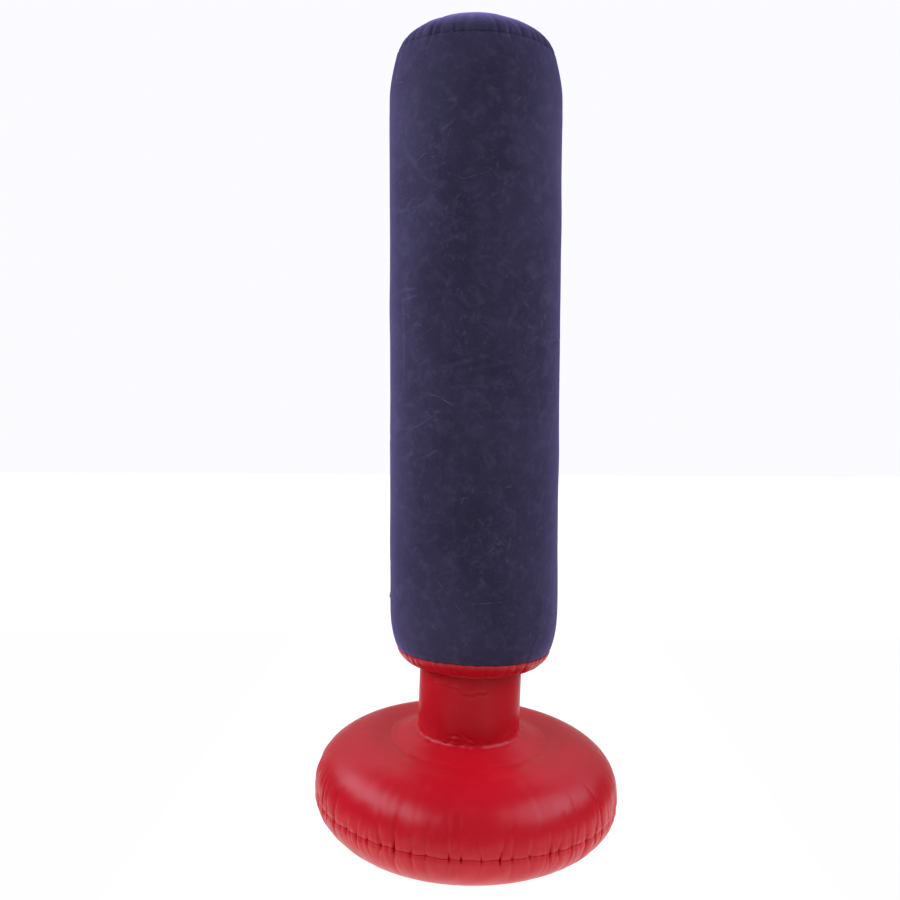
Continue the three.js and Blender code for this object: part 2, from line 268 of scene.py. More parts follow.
def filled_mesh(name, points, corners, sizes, sharp_deg):
    mesh = bpy.data.meshes.new(name)
    mesh.vertices.add(len(points))
    mesh.vertices.foreach_set("co", np.asarray(points, np.float32).ravel())
    mesh.loops.add(len(corners))
    mesh.loops.foreach_set("vertex_index", np.asarray(corners, np.int32))
    mesh.polygons.add(len(sizes))
    starts = np.r_[0, np.cumsum(sizes)[:-1]]
    mesh.polygons.foreach_set("loop_start", starts.astype(np.int32))
    mesh.update(calc_edges=True)
    mesh.validate()
    mesh.polygons.foreach_set("use_smooth", np.ones(len(mesh.polygons), bool))
    mesh.set_sharp_from_angle(angle=math.radians(sharp_deg))
    return in_scene(name, mesh)


def ringed(name, rings, poles=(), sharp_deg=40):
    """A closed mesh from rings of points, shape (rows, around, 3), wound outwards. Either its
    first and last rings close on two poles, or the last ring joins the first."""
    rows, around = rings.shape[:2]
    upper = np.arange(rows - 1 if len(poles) else rows)[:, None] * around
    lower = (upper + around) % (rows * around)
    j = np.arange(around)
    k = (j + 1) % around
    quads = np.stack([upper + j, lower + j, lower + k, upper + k], axis=-1)
    corners = quads.reshape(-1)
    sizes = np.full(len(corners) // 4, 4)
    points = rings.reshape(-1, 3)
    if len(poles):
        first = len(points)
        last = (rows - 1) * around
        points = np.vstack([points, poles])
        start = np.stack([np.full(around, first), j, k], axis=-1)
        end = np.stack([np.full(around, first + 1), last + k, last + j], axis=-1)
        corners = np.concatenate([corners, start.ravel(), end.ravel()])
        sizes = np.concatenate([sizes, np.full(2 * around, 3)])
    return filled_mesh(name, points, corners, sizes, sharp_deg)


def capped(name, rings, sharp_deg=40):
    """A closed mesh whose first and last rings close on their own centres."""
    return ringed(name, rings, np.array([rings[0].mean(0), rings[-1].mean(0)]), sharp_deg)


def warped(rings, warp):
    return warp(rings.reshape(-1, 3)).reshape(rings.shape)


def turned_sheet(name, path, around, spacing, relief, warp, thickness=SHEET, skip=4, seams=()):
    """A thin closed sheet turned about Z. Its inner face follows the outer one with fewer
    rings. A path that starts or ends on the axis closes there. On a seam, and on the lip
    beyond it, the relief moves the sheet level or straight down, so that two lips stay shut."""
    r, z, s, nr, nz = (a[:, None] for a in spread(path, spacing))
    azimuth = np.arange(around)[None, :] * TURN / around
    out, along = relief(azimuth, s, r, z)
    held = 0 * s
    for seam in seams:
        beyond = s < seam if seam < s.max() / 2 else s > seam
        held = np.maximum(held, np.where(beyond, 1, bell(s - seam, 0.006)))
    push_r, push_z = nr * (1 - held) + held, nz * (1 - held)
    slide_r, slide_z = nz * (1 - held), -nr * (1 - held) - held

    def face(depth):
        far = (r - nr * depth + push_r * out + slide_r * along) * np.ones_like(azimuth)
        high = (z - nz * depth + push_z * out + slide_z * along) * np.ones_like(azimuth)
        return np.stack([far * np.sin(azimuth), -far * np.cos(azimuth), high], axis=-1)

    outer, inner = face(0), face(thickness)
    rows = np.arange(len(s))
    few = np.unique(np.r_[rows[::skip], rows[-1]])
    on_axis = [i for i in (0, len(s) - 1) if r[i, 0] < ON_AXIS]
    poles = ()
    if on_axis:
        pole = on_axis[0]
        kept = outer[rows != pole]
        lining = inner[few[few != pole]][::-1]
        poles = np.array([outer[pole].mean(0), inner[pole].mean(0)])
        rings = np.concatenate([kept, lining])
        if pole:
            rings = np.concatenate([lining, kept])
            poles = poles[::-1]
    else:
        rings = np.concatenate([outer, inner[few][::-1]])
    return ringed(name, warped(rings, warp), warp(poles) if len(poles) else poles)


def turned_solid(name, outline, around=96, place=None, lobes=None):
    """A closed solid turned about its own Z. lobes(azimuth, r, z) scales the radius."""
    outline = floats(outline)
    r, z = outline[:, 0][:, None], outline[:, 1][:, None]
    azimuth = np.arange(around)[None, :] * TURN / around
    far = r * (lobes(azimuth, r, z) if lobes else np.ones_like(azimuth))
    high = z * np.ones_like(azimuth)
    rings = np.stack([far * np.sin(azimuth), -far * np.cos(azimuth), high], axis=-1)
    poles = ()
    if r[0, 0] < ON_AXIS:
        poles = np.array([rings[0].mean(0), rings[-1].mean(0)])
        rings = rings[1:-1]
    obj = ringed(name, rings, poles, sharp_deg=35)
    if place is not None:
        obj.data.transform(place)
    return obj


def rounded(corners, radius, count=4, closed=True):
    """A polygon in (r, z) with its corners rounded; those on the axis stay sharp."""
    made = []
    total = len(corners)
    for i, corner in enumerate(corners):
        p = floats(corner)
        ends = not closed and i in (0, total - 1)
        if p[0] < ON_AXIS or ends:
            made.append(p)
            continue
        before, after = floats(corners[i - 1]), floats(corners[(i + 1) % total])
        small = min(radius, 0.45 * np.hypot(*(before - p)), 0.45 * np.hypot(*(after - p)))
        a = p + (before - p) / np.hypot(*(before - p)) * small
        b = p + (after - p) / np.hypot(*(after - p)) * small
        for t in np.linspace(0, 1, count + 1):
            made.append((1 - t) ** 2 * a + 2 * t * (1 - t) * p + t**2 * b)
    return made


# ---- how the sheets are puckered ----


def pleat_set(count, seed):
    rng = np.random.default_rng(seed)
    step = TURN / count
    places = (np.arange(count) + rng.uniform(-0.22, 0.22, count)) * step
    return [
        dict(at=at, deep=rng.uniform(0.5, 1.25), long=rng.uniform(0.45, 1.5),
             lean=rng.uniform(-0.25, 0.25), wide=rng.uniform(0.7, 1.4))
        for at in places
    ]


BASE_PLEATS = pleat_set(PLEATS, 11)
BASE_FLUTES = pleat_set(2 * PLEATS, 13)
TOP_PLEAT_SET = pleat_set(TOP_PLEATS, 23)
BOTTOM_PLEAT_SET = pleat_set(BOTTOM_PLEATS, 37)


def pleated(azimuth, away, r, pleats, depth, width, fan, length, puff, puff_at):
    """Valleys that leave a seam, deepest on it, with the sheet puffed out between them."""
    valley = np.zeros(np.broadcast(azimuth, away).shape)
    away = np.abs(away)
    for p in pleats:
        across = r * wrap(azimuth - p["at"]) + p["lean"] * away
        wide = (width + fan * away) * p["wide"]
        fade = np.exp(-away / (length * p["long"]))
        valley = valley + p["deep"] * fade * bell(across, wide)
    swell = smooth(away, 0, puff_at) * np.exp(-away / (3.5 * puff_at))
    return puff * swell - depth * np.minimum(valley, 1.6)


def seam_shift(azimuth, away, seed, size):
    return size * ripple(azimuth, seed, 20, 60) * np.exp(-np.abs(away) / 0.012)


def base_relief(seam_s, length):
    def relief(azimuth, s, r, z):
        away = s - seam_s
        out = pleated(azimuth, away, r, BASE_PLEATS, depth=0.0064, width=0.0018, fan=0.06,
                      length=0.80 * length, puff=0.0018, puff_at=0.010)
        out = out + pleated(azimuth, away, r, BASE_FLUTES, depth=0.0013, width=0.0034, fan=0.06,
                            length=1.7 * length, puff=0, puff_at=0.010)
        away = np.abs(away)
        out = out + 0.0005 * ripple(azimuth, 5, 3, 9) * smooth(away, 0.01, 0.08)
        drawn = smooth(away, 0, 0.03) * (1 - smooth(away, 0.04, 0.09))
        out = out + 0.0005 * ripple(azimuth + 2.5 * s, 6, 16, 34) * drawn
        quiet = smooth(r, 0.09, 0.16)
        return out * quiet, seam_shift(azimuth, away, 8, 0.0011)
    return relief


def base_lean(points):
    """Leans the base under the column. The filler's surroundings and the floor patch stay."""
    points = np.asarray(points, float)
    x, y, z = points.T
    high = z - TILT_PIVOT_Z
    lean_x = math.cos(BASE_TILT) * x + math.sin(BASE_TILT) * high - x
    lean_z = -math.sin(BASE_TILT) * x + math.cos(BASE_TILT) * high - high
    near = np.sqrt(x**2 + (y - FILLER.y) ** 2 + (z - FILLER.z) ** 2)
    share = smooth(near, 0.040, 0.118)
    lift = share * smooth(z, 0, 0.06) * (1 - smooth(z, 0.24, 0.35))
    nod = CROWN_NOD * y * (1 - 0.8 * smooth(np.hypot(x, y), 0.15, 0.30))
    nod = nod * (1 - 0.6 * smooth(y, 0.0, 0.12))
    return np.stack([x + share * lean_x, y, z + lift * (lean_z + nod)], axis=-1)


def column_lean(points):
    """The column's top is higher on the left, and its foot sags on the right."""
    points = np.asarray(points, float)
    x, y, z = points.T
    head = smooth(z, 1.42, 1.56) * (0.0014 - 0.019 * x)
    foot = (1 - smooth(z, 0.40, 0.56)) * 0.0062 * smooth(x, -0.05, 0.15)
    return np.stack([x + COLUMN_SHIFT, y, z + head - foot], axis=-1)


# ---- materials ----


class Surface:
    """One node material: helpers that add nodes and wire them up."""

    def __init__(self, name, **constants):
        self.material = bpy.data.materials.new(name)
        self.material.use_nodes = True
        self.nodes = self.material.node_tree.nodes
        self.links = self.material.node_tree.links
        self.shader = self.nodes["Principled BSDF"]
        for socket, value in constants.items():
            self.shader.inputs[socket.replace("_", " ")].default_value = value
        self.place = self.nodes.new("ShaderNodeTexCoord").outputs["Object"]

    def put(self, kind, inputs=(), **settings):
        node = self.nodes.new(kind)
        for key, value in settings.items():
            setattr(node, key, value)
        for key, value in dict(inputs).items():
            if isinstance(value, bpy.types.NodeSocket):
                self.links.new(value, node.inputs[key])
            else:
                node.inputs[key].default_value = value
        return node

    def stretched(self, scale, place):
        return self.put("ShaderNodeMapping", {"Vector": place, "Scale": scale}).outputs[0]

    def noise(self, scale, detail, rough, distortion=0.0, place=None):
        return self.put("ShaderNodeTexNoise", {
            "Vector": self.place if place is None else place, "Scale": scale, "Detail": detail,
            "Roughness": rough, "Distortion": distortion,
        }).outputs[0]

    def ramp(self, value, low, high, to_low=0.0, to_high=1.0):
        node = self.put("ShaderNodeMapRange", {
            "Value": value, "From Min": low, "From Max": high, "To Min": to_low, "To Max": to_high,
        }, interpolation_type="SMOOTHSTEP")
        return node.outputs[0]

    def mix(self, share, a, b):
        """Two colours mixed. A mix node has its colours on inputs 6 and 7 and on output 2."""
        return self.put("ShaderNodeMix", {0: share, 6: a, 7: b}, data_type="RGBA").outputs[2]

    def times(self, a, b, scale):
        first = self.put("ShaderNodeMath", {0: a, 1: b}, operation="MULTIPLY").outputs[0]
        return self.put("ShaderNodeMath", {0: first, 1: scale}, operation="MULTIPLY").outputs[0]

    def streaks(self, turn, scale):
        """Noise drawn out along one direction, turned by angles in degrees about X, Y and Z."""
        angles = [math.radians(a) for a in turn]
        turned = self.put("ShaderNodeMapping", {"Vector": self.place, "Rotation": angles})
        place = self.stretched((0.09, 1, 1), turned.outputs[0])
        return self.noise(scale, 2.0, 0.5, 0.25, place)

    def bump(self, layers):
        """Stacked bumps, each (height, strength, distance in metres)."""
        normal = None
        for height, strength, distance in layers:
            inputs = {"Height": height, "Strength": strength, "Distance": distance}
            if normal:
                inputs["Normal"] = normal
            normal = self.put("ShaderNodeBump", inputs).outputs[0]
        self.links.new(normal, self.shader.inputs["Normal"])

    def wire(self, value, socket):
        self.links.new(value, self.shader.inputs[socket])


def flocked_pvc():
    s = Surface("flocked pvc", Specular_IOR_Level=0.06, Sheen_Weight=0.68, Sheen_Roughness=0.42,
                Sheen_Tint=(0.50, 0.42, 1.0, 1))
    nap = s.noise(7.0, 6.0, 0.6, 0.5, s.stretched((1, 1, 0.6), s.place))
    rubbed = s.noise(38.0, 6.0, 0.62, 0.6)
    grain = s.noise(520.0, 3.0, 0.6)
    colour = s.mix(s.ramp(nap, 0.34, 0.68), FLOCK_DARK, FLOCK_LIGHT)
    colour = s.mix(s.ramp(rubbed, 0.46, 0.78, 0, 0.50), colour, FLOCK_RUBBED)
    wisp = s.ramp(s.noise(17.0, 7.0, 0.7, 1.8), 0.50, 0.76, 0, 0.55)
    colour = s.mix(wisp, colour, FLOCK_RUBBED)
    colour = s.mix(s.ramp(grain, 0.35, 0.75, 0, 0.22), colour, FLOCK_RUBBED)
    for turn, scale, strength in FLOCK_STREAKS:
        streak = s.ramp(s.streaks(turn, scale), 0.61, 0.75)
        patch = s.ramp(s.noise(scale * 0.12, 2.0, 0.5), 0.50, 0.64)
        colour = s.mix(s.times(streak, patch, strength), colour, FLOCK_SCUFF)
    lint = s.ramp(s.noise(300.0, 1.0, 0.5), 0.785, 0.82, 0, 0.6)
    colour = s.mix(lint, colour, (0.22, 0.20, 0.27, 1))
    s.wire(colour, "Base Color")
    s.wire(s.ramp(rubbed, 0.3, 0.8, 0.95, 0.80), "Roughness")
    s.bump([(nap, 0.25, 0.0010), (rubbed, 0.25, 0.0005), (grain, 0.3, 0.00030)])
    return s.material


def red_pvc():
    s = Surface("red pvc", Specular_IOR_Level=0.33)
    drift = s.noise(5.0, 4.0, 0.5, 0.5)
    cloud = s.noise(24.0, 5.0, 0.6)
    wave = s.noise(14.0, 3.0, 0.5, 0.6)
    grain = s.noise(900.0, 2.0, 0.5)
    colour = s.mix(s.ramp(drift, 0.3, 0.7), (0.59, 0.0047, 0.0145, 1), (0.66, 0.0062, 0.0180, 1))
    colour = s.mix(s.ramp(cloud, 0.5, 0.8, 0, 0.35), colour, (0.76, 0.0095, 0.023, 1))
    dust = s.ramp(s.noise(330.0, 2.0, 0.5), 0.76, 0.80, 0, 0.25)
    colour = s.mix(dust, colour, (0.62, 0.16, 0.17, 1))
    s.wire(colour, "Base Color")
    s.wire(s.ramp(cloud, 0.3, 0.75, 0.33, 0.41), "Roughness")
    s.bump([(wave, 0.16, 0.0012), (cloud, 0.14, 0.0004), (grain, 0.10, 0.00008)])
    return s.material


def clear_pvc():
    s = Surface("clear pvc", Transmission_Weight=0.82, IOR=1.46)
    haze = s.noise(70.0, 2.0, 0.5)
    s.wire(s.mix(s.ramp(haze, 0.35, 0.7), (0.86, 0.88, 0.88, 1), (0.93, 0.94, 0.93, 1)),
           "Base Color")
    s.wire(s.ramp(haze, 0.3, 0.7, 0.14, 0.22), "Roughness")
    s.bump([(haze, 0.10, 0.0003), (s.noise(900.0, 1.0, 0.5), 0.05, 0.00005)])
    return s.material


def seal_rubber():
    s = Surface("seal rubber", Specular_IOR_Level=0.4)
    grain = s.noise(700.0, 4.0, 0.6)
    s.wire(s.mix(s.ramp(grain, 0.35, 0.7), (0.72, 0.70, 0.65, 1), (0.84, 0.82, 0.78, 1)),
           "Base Color")
    s.wire(s.ramp(grain, 0.3, 0.7, 0.5, 0.65), "Roughness")
    s.bump([(grain, 0.3, 0.0001)])
    return s.material


def pale_scuff():
    s = Surface("pale scuff", Specular_IOR_Level=0.1, Sheen_Weight=0.4, Sheen_Roughness=0.4)
    fade = s.noise(60.0, 3.0, 0.6)
    s.wire(s.mix(s.ramp(fade, 0.35, 0.65), (0.055, 0.048, 0.085, 1), (0.16, 0.145, 0.22, 1)),
           "Base Color")
    s.bump([(s.noise(500.0, 2.0, 0.5), 0.2, 0.0002)])
    return s.material


def ballast_water():
    s = Surface("water", Transmission_Weight=1.0, IOR=1.33, Roughness=0.03)
    swirl = s.noise(12.0, 3.0, 0.5)
    s.wire(s.mix(swirl, (0.80, 0.90, 0.93, 1), (0.88, 0.94, 0.95, 1)), "Base Color")
    s.bump([(swirl, 0.1, 0.0006)])
    return s.material


FLOCK_DARK = (0.033, 0.029, 0.056, 1)
FLOCK_LIGHT = (0.050, 0.044, 0.084, 1)
FLOCK_RUBBED = (0.088, 0.078, 0.142, 1)
FLOCK_SCUFF = (0.17, 0.155, 0.255, 1)
FLOCK_STREAKS = [
    ((0, 32, 25), 95.0, 0.20), ((0, -38, -20), 110.0, 0.22), ((20, 74, 0), 120.0, 0.18),
    ((10, -8, 50), 90.0, 0.18), ((-30, 55, -60), 130.0, 0.22),
]

# Each look is a material and the name of a slot.
FLOCK = flocked_pvc(), "flocked_pvc"
RED = red_pvc(), "red_pvc"
CLEAR = clear_pvc(), "clear_pvc"
SCUFF = pale_scuff(), "flocked_pvc"
SEAL = seal_rubber(), "seal_rubber"
WATER = ballast_water(), "water"


def dress(obj, material):
    obj.data.materials.clear()
    obj.data.materials.append(material)


# ---- pieces ----


def placed(obj, look, body, *nodes):
    """The piece gets the look's material and rides on a body; the CAD nodes are hidden."""
    material, slot = look
    dress(obj, material)
    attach(obj, body)
    if nodes:
        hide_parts(*nodes)


def bridging(obj, look, node):
    """The piece gets the look's material, its placement is baked into its mesh, and the CAD node
    is hidden.
    """
    material, slot = look
    dress(obj, material)
    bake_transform(obj)
    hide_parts(node)


def moulded(name, corners, radius, place, look, body, node, around=96):
    """A small part turned from a polygon with rounded corners."""
    placed(turned_solid(name, rounded(corners, radius), around, place), look, body, node)


def gathers(size, seed, low, high):
    """The relief of a small collar: a wave around it, the same all along its path."""
    def relief(azimuth, s, r, z):
        out = size * ripple(azimuth, seed, low, high) + 0 * s
        return out, 0 * out
    return relief


def crown_relief(seam_s):
    """The base's puckers, calm round the weld disc and the filler."""
    puckers = base_relief(seam_s, 0.026)

    def relief(azimuth, s, r, z):
        out, along = puckers(azimuth, s, r, z)
        near = np.hypot(r * np.sin(azimuth), -r * np.cos(azimuth) - FILLER.y)
        return out * smooth(r, 0.156, 0.21) * smooth(near, 0.045, 0.1), along
    return relief


def base_spacing(seam_s, flat_s):
    def spacing(s):
        away = np.abs(s - seam_s)
        step = 0.0016 + 0.0042 * smooth(away, 0.004, 0.07)
        return np.where(flat_s(s), 0.028, step)
    return spacing


def make_base():
    path = turned_in(crown_outline(), at_end=True)
    seam_s = base_seam(path)
    crown = turned_sheet(
        "base_crown", path, 1080, base_spacing(seam_s, lambda s: s < 0.085),
        crown_relief(seam_s), base_lean, seams=(seam_s,),
    )
    hole = slab(0, 0.0275, -0.02, 0.02)
    cut_out(crown, turned_solid("hole", hole, 64, Matrix.Translation(FILLER)))

    path = turned_in(under_outline(), at_end=False)
    seam_s = base_seam(path)
    total = length_of(path)
    under = turned_sheet(
        "base_underside", path, 1080,
        base_spacing(seam_s, lambda s: s > total - UNDER_FLAT - 0.01),
        base_relief(seam_s, 0.020), base_lean, seams=(seam_s,),
    )
    placed(crown, RED, "base", "base_upper_panel")
    placed(under, RED, "base", "base_lower_panel")

    low, high = heights("base_tie_tube")
    radius = reach("base_tie_tube")
    tube = slab(radius - LIP, radius, low, high)

    def folds(azimuth, s, r, z):
        out = 0.0006 * ripple(azimuth, 41, 9, 20) * smooth(np.abs(z - 0.1), 0.1, 0.0)
        return out, 0 * out
    tie = turned_sheet("base_tie_sleeve", floats(rounded(tube, 0.002, closed=False)), 180,
                       even(0.004), folds, base_lean, thickness=0.0006)
    placed(tie, RED, "base", "base_tie_tube")
    make_ballast()


def make_ballast():
    """The water follows the leaning base, but its surface stays level."""
    low, high = heights("water_ballast")
    core = reach("base_tie_tube") + 0.005
    edge = under_r(high) - 0.022
    side = [(under_r(z) - 0.009, z + 0.004) for z in np.linspace(high - 0.012, low + 0.001, 24)]
    rim = reach("water_ballast") - 0.001
    side = [(min(r, rim), z) for r, z in side]
    outline = [(core, high - 0.003), (edge, high - 0.003), *side, (core, low + 0.004)]
    water = turned_solid("water", outline, 120)
    for v in water.data.vertices:
        on_top = v.co.z > high - 0.0035
        v.co = base_lean([v.co])[0].tolist()
        if on_top:
            v.co.z = high - 0.003
    placed(water, WATER, "base", "water_ballast")


def cut_out(obj, cutter):
    """Cuts a closed solid out of a piece and leaves the piece closed."""
    modifier = obj.modifiers.new("hole", "BOOLEAN")
    modifier.operation = "DIFFERENCE"
    modifier.solver = "EXACT"
    modifier.object = cutter
    bpy.context.view_layer.update()
    cut = obj.evaluated_get(bpy.context.evaluated_depsgraph_get())
    made = bpy.data.meshes.new_from_object(cut)
    obj.modifiers.clear()
    obj.data = made
    made.set_sharp_from_angle(angle=math.radians(40))
    bpy.data.objects.remove(cutter)


# ---- column ----


def ridge(azimuth, z, line, depth, width, radius=COLUMN_R):
    """A fold pressed into the wall along (azimuth in degrees, height) points."""
    flat = [(radius * math.radians(a), up) for a, up in line]
    total = sum(math.dist(a, b) for a, b in zip(flat, flat[1:]))
    made = np.zeros(np.broadcast(azimuth, z).shape)
    done = 0.0
    for (a0, z0), (a1, z1) in zip(line, line[1:]):
        du = radius * math.radians(a1 - a0)
        dz = z1 - z0
        size = math.hypot(du, dz)
        u = radius * wrap(azimuth - math.radians(a0))
        t = np.clip((u * du + (z - z0) * dz) / size**2, 0, 1)
        side = (u * dz - (z - z0) * du) / size
        off = np.hypot(u - t * du, z - z0 - t * dz)
        end = np.sin(math.pi * np.clip((done + t * size) / total, 0.02, 0.98)) ** 0.6
        fold = end * (-bell(off, width) + 0.55 * bell(off - 1.9 * width, 1.5 * width)
                      * smooth(side, -width, width))
        made = np.where(np.abs(fold) > np.abs(made), fold, made)
        done += size
    return depth * made


FOLDS = [
    ([(-24, 0.940), (-6, 0.953), (10.6, 0.969)], 0.0017, 0.0045),
    ([(-12.8, 0.935), (12, 0.948), (35, 0.965), (78, 0.999)], 0.0022, 0.005),
    ([(-6, 0.846), (20, 0.848), (48, 0.845), (80, 0.852)], 0.0012, 0.006),
    ([(14, 0.872), (40, 0.866), (66, 0.871)], 0.0008, 0.005),
    ([(-55, 0.88), (-54, 0.98), (-56, 1.08)], 0.0007, 0.005),
    ([(-70, 1.476), (-48, 1.474)], 0.0006, 0.004),
    ([(120, 1.02), (150, 0.99), (178, 0.985)], 0.0016, 0.005),
    ([(205, 0.93), (236, 0.945), (262, 0.94)], 0.0018, 0.005),
    ([(188, 1.21), (214, 1.2)], 0.0012, 0.005),
]


def wall_relief(azimuth, s, r, z):
    from_top = TOP_SEAM_Z - z
    from_foot = z - BOTTOM_SEAM_Z
    out = pleated(azimuth, from_top, r, TOP_PLEAT_SET, depth=0.0016, width=0.003, fan=0.12,
                  length=0.012, puff=0.0007, puff_at=0.008)
    out = out + pleated(azimuth, from_foot, r, BOTTOM_PLEAT_SET, depth=0.0013, width=0.003,
                        fan=0.12, length=0.012, puff=0.0006, puff_at=0.008)
    for line, depth, width in FOLDS:
        out = out + ridge(azimuth, z, line, depth, width)
    rng = np.random.default_rng(71)
    for _ in range(34):
        start = rng.uniform(0, 360)
        at = rng.uniform(0.5, 1.45)
        run = rng.uniform(10, 34) * rng.choice([-1, 1])
        rise = rng.uniform(-0.02, 0.02)
        line = [(start, at), (start + run / 2, at + rise), (start + run, at + 1.4 * rise)]
        out = out + ridge(azimuth, z, line, rng.uniform(0.0002, 0.0006), rng.uniform(0.004, 0.008))
    middle = smooth(from_top, 0.0, 0.12) * smooth(from_foot, 0.0, 0.12)
    out = out + 0.0007 * middle
    out = out + 0.0006 * middle * ripple(azimuth + 3 * z, 72, 2, 6)
    out = out + 0.0004 * middle * ripple(2.2 * z * TURN + 2 * np.sin(azimuth), 73, 1, 4)
    along = seam_shift(azimuth, from_top, 74, 0.0007) + seam_shift(azimuth, from_foot, 75, 0.0006)
    return out, along


def wall_spacing(s):
    z = TOP_SEAM_Z + LIP - s
    close = smooth(np.minimum(np.abs(z - TOP_SEAM_Z), np.abs(z - BOTTOM_SEAM_Z)), 0.01, 0.11)
    folds = smooth(np.abs(z - 0.92), 0.085, 0.13)
    return 0.0016 + 0.0014 * close + 0.0055 * close * folds


def top_relief(azimuth, s, r, z):
    away = SEAM_R - r
    out = pleated(azimuth, away, np.maximum(r, 0.03), TOP_PLEAT_SET, depth=0.0023, width=0.0030,
                  fan=0.16, length=0.030, puff=0.0008, puff_at=0.010)
    calm = smooth(r, 0.02, 0.07)
    out = out * calm + 0.0012 * ripple(azimuth, 76, 2, 6) * calm
    return out, seam_shift(azimuth, away, 74, 0.0007)


def bottom_relief(azimuth, s, r, z):
    away = SEAM_R - r
    out = pleated(azimuth, away, r, BOTTOM_PLEAT_SET, depth=0.0026, width=0.003, fan=0.14,
                  length=0.022, puff=0.0012, puff_at=0.008)
    out = out * smooth(r, COLLAR_R, COLLAR_R + 0.01) + 0.0052 * bell(r - 0.128, 0.017)
    return out, seam_shift(azimuth, away, 75, 0.0006)


def make_column():
    path = turned_in(turned_in(wall_outline(), at_end=True), at_end=False)
    length = length_of(path)
    wall = turned_sheet("column_wall", path, 360, wall_spacing, wall_relief, column_lean, skip=6,
                        seams=(LIP, length - LIP))
    placed(wall, FLOCK, "column", "column_side_panel")

    path = turned_in(top_outline(), at_end=True)
    total = length_of(path)
    top = turned_sheet(
        "column_top", path, 432,
        lambda s: 0.0018 + 0.006 * smooth(total - s, 0.02, 0.12), top_relief, column_lean,
        seams=(total - LIP,),
    )
    placed(top, FLOCK, "column", "column_top_panel")

    path = turned_in(bottom_outline(), at_end=False)
    bottom = turned_sheet("column_bottom", path, 432, even(0.0022), bottom_relief,
                          column_lean, seams=(LIP,))
    placed(bottom, RED, "column", "column_bottom_panel")
    make_lap_strip()
    make_scratches()


SCRATCHES = [
    [(-13, 1.268), (-4, 1.273), (4, 1.280)],
    [(3, 1.279), (7, 1.283), (11, 1.291), (14.5, 1.293)],
    [(4, 1.289), (8, 1.290), (12, 1.294)],
    [(-68, 1.459), (-60, 1.461), (-52, 1.458)],
    [(-34, 1.236), (-28, 1.243), (-24, 1.241)],
    [(-40, 1.306), (-35, 1.318), (-31, 1.322)],
    [(-80, 1.11), (-79, 1.13), (-79.5, 1.16)],
    [(2, 1.345), (5, 1.342), (8, 1.3425)],
    [(-32, 0.894), (-23, 0.886), (-13, 0.871)],
    [(-19, 1.001), (-10, 0.998)],
    [(-2, 0.511), (8, 0.513), (18, 0.514)],
    [(-24, 0.552), (-18, 0.533), (-13, 0.515), (-5, 0.487)],
    [(2, 0.718), (11, 0.714)],
    [(-10, 0.703), (-3, 0.706)],
    [(31, 0.985), (34, 0.972), (33, 0.966)],
    [(118, 1.33), (126, 1.318), (138, 1.316)],
    [(160, 0.72), (171, 0.731)],
    [(226, 1.12), (236, 1.13), (243, 1.128)],
    [(252, 0.66), (258, 0.64)],
]


def make_scratches():
    """Pale scuffs and lint that stand out on the flocking."""
    strands = []
    for line in SCRATCHES:
        points = []
        for (a0, z0), (a1, z1) in zip(line, line[1:]):
            for t in np.linspace(0, 1, 7)[:-1].tolist():
                points.append((a0 + (a1 - a0) * t, z0 + (z1 - z0) * t))
        points.append(line[-1])
        rings = []
        for i, (a, z) in enumerate(points):
            share = math.sin(math.pi * (i + 0.4) / len(points)) ** 0.7
            half = 0.00036 * share + 0.00005
            azimuth = math.radians(a)
            out = Vector((math.sin(azimuth), -math.cos(azimuth), 0))
            side = Vector((math.cos(azimuth), math.sin(azimuth), 0))
            (a0, z0), (a1, z1) = points[max(i - 1, 0)], points[min(i + 1, len(points) - 1)]
            flat = Vector((COLUMN_R * math.radians(a1 - a0), z1 - z0)).normalized()
            across = side * -flat[1] + Vector((0, 0, 1)) * flat[0]
            centre = out * (COLUMN_R + 0.0009) + Vector((COLUMN_SHIFT, 0, z))
            rings.append([centre + across * half * c + out * 0.0011 * w
                          for c, w in ((-1, -1), (1, -1), (1, 0.06), (-1, 0.06))])
        strands.append(capped("strand", np.array(rings)))
    scuffs = joined("column_scuffs", strands)
    placed(scuffs, SCUFF, "column")


def make_lap_strip():
    """The wall's free edge, welded up the back."""
    low, high = heights("column_lap_strip")
    half = reach("column_lap_strip")
    path = wall_outline()
    path = path[(path[:, 1] > low) & (path[:, 1] < high)]
    r, z, s, nr, nz = spread(path, even(0.006))
    u = np.linspace(-half, half, 13)
    wander = 0.0005 * ripple(s * 5, 81, 1, 5)
    top = [(across, GAP + 0.0009 * smooth(half - abs(across), 0, 0.0022) + 0.0001) for across in u]
    loop = top + [(across, GAP - 0.0002) for across, _ in reversed(top)]
    rings = np.zeros((len(s), len(loop), 3))
    puffs = 0.00035 * ripple(s * 40, 82, 1, 6)
    for j, (across, lift) in enumerate(loop):
        azimuth = math.pi - across / COLUMN_R
        out = lift + 0.0003 + puffs * (lift > GAP)
        rr = r + nr * out
        shifted = azimuth - wander / COLUMN_R
        rings[:, j] = np.stack([rr * np.sin(shifted), -rr * np.cos(shifted), z], axis=-1)
    rings = rings[:, ::-1]
    ends = column_lean(np.array([rings[0].mean(0), rings[-1].mean(0)]))
    strip = ringed("column_lap_strip_edge", warped(rings, column_lean), ends, sharp_deg=50)
    placed(strip, FLOCK, "column", "column_lap_strip")


# ---- neck ----


